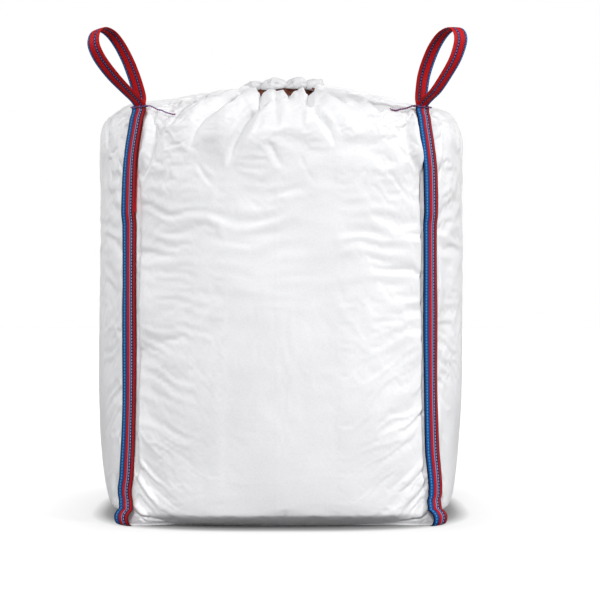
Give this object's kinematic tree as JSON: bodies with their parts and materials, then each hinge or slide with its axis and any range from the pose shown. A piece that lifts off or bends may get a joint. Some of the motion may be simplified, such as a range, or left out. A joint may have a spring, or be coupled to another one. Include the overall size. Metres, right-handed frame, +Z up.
{
  "type": "bulk cement bag",
  "caption": "Filled woven bulk bag of cement: bulging fabric sides, a tied neck with a ruffle, and webbing lifting loops at the corners.",
  "frame": {"origin": "middle of the underside of the base, on the floor that the bag stands on", "axes": "+Z up, the front panel faces -Y, +X to the right of someone who looks at the front"},
  "size_m": [1.1004, 1.1004, 1.3849],
  "materials": {
    "woven_fabric": "white laminated woven polypropylene",
    "cement": "loose grey powder",
    "tape": "brown woven tape",
    "webbing": "red webbing with blue stripes",
    "binding_cord": "twisted blue and red cord"
  },
  "bodies": {
    "root": {"front_panel": "woven_fabric", "back_panel": "woven_fabric", "left_panel": "woven_fabric", "right_panel": "woven_fabric", "base_panel": "woven_fabric", "gathered_neck": "woven_fabric", "cement_fill": "cement", "neck_tape": "tape", "corner_strap_front_left": "webbing", "corner_strap_front_right": "webbing", "corner_strap_rear_left": "webbing", "corner_strap_rear_right": "webbing", "lifting_loop_front_left": "webbing", "lifting_loop_front_right": "webbing", "lifting_loop_rear_left": "webbing", "lifting_loop_rear_right": "webbing", "loop_binding_front_left": "binding_cord", "loop_binding_front_right": "binding_cord", "loop_binding_rear_left": "binding_cord", "loop_binding_rear_right": "binding_cord", "binding_tail_front_left": "binding_cord", "binding_tail_front_right": "binding_cord"}
  },
  "joints": []
}
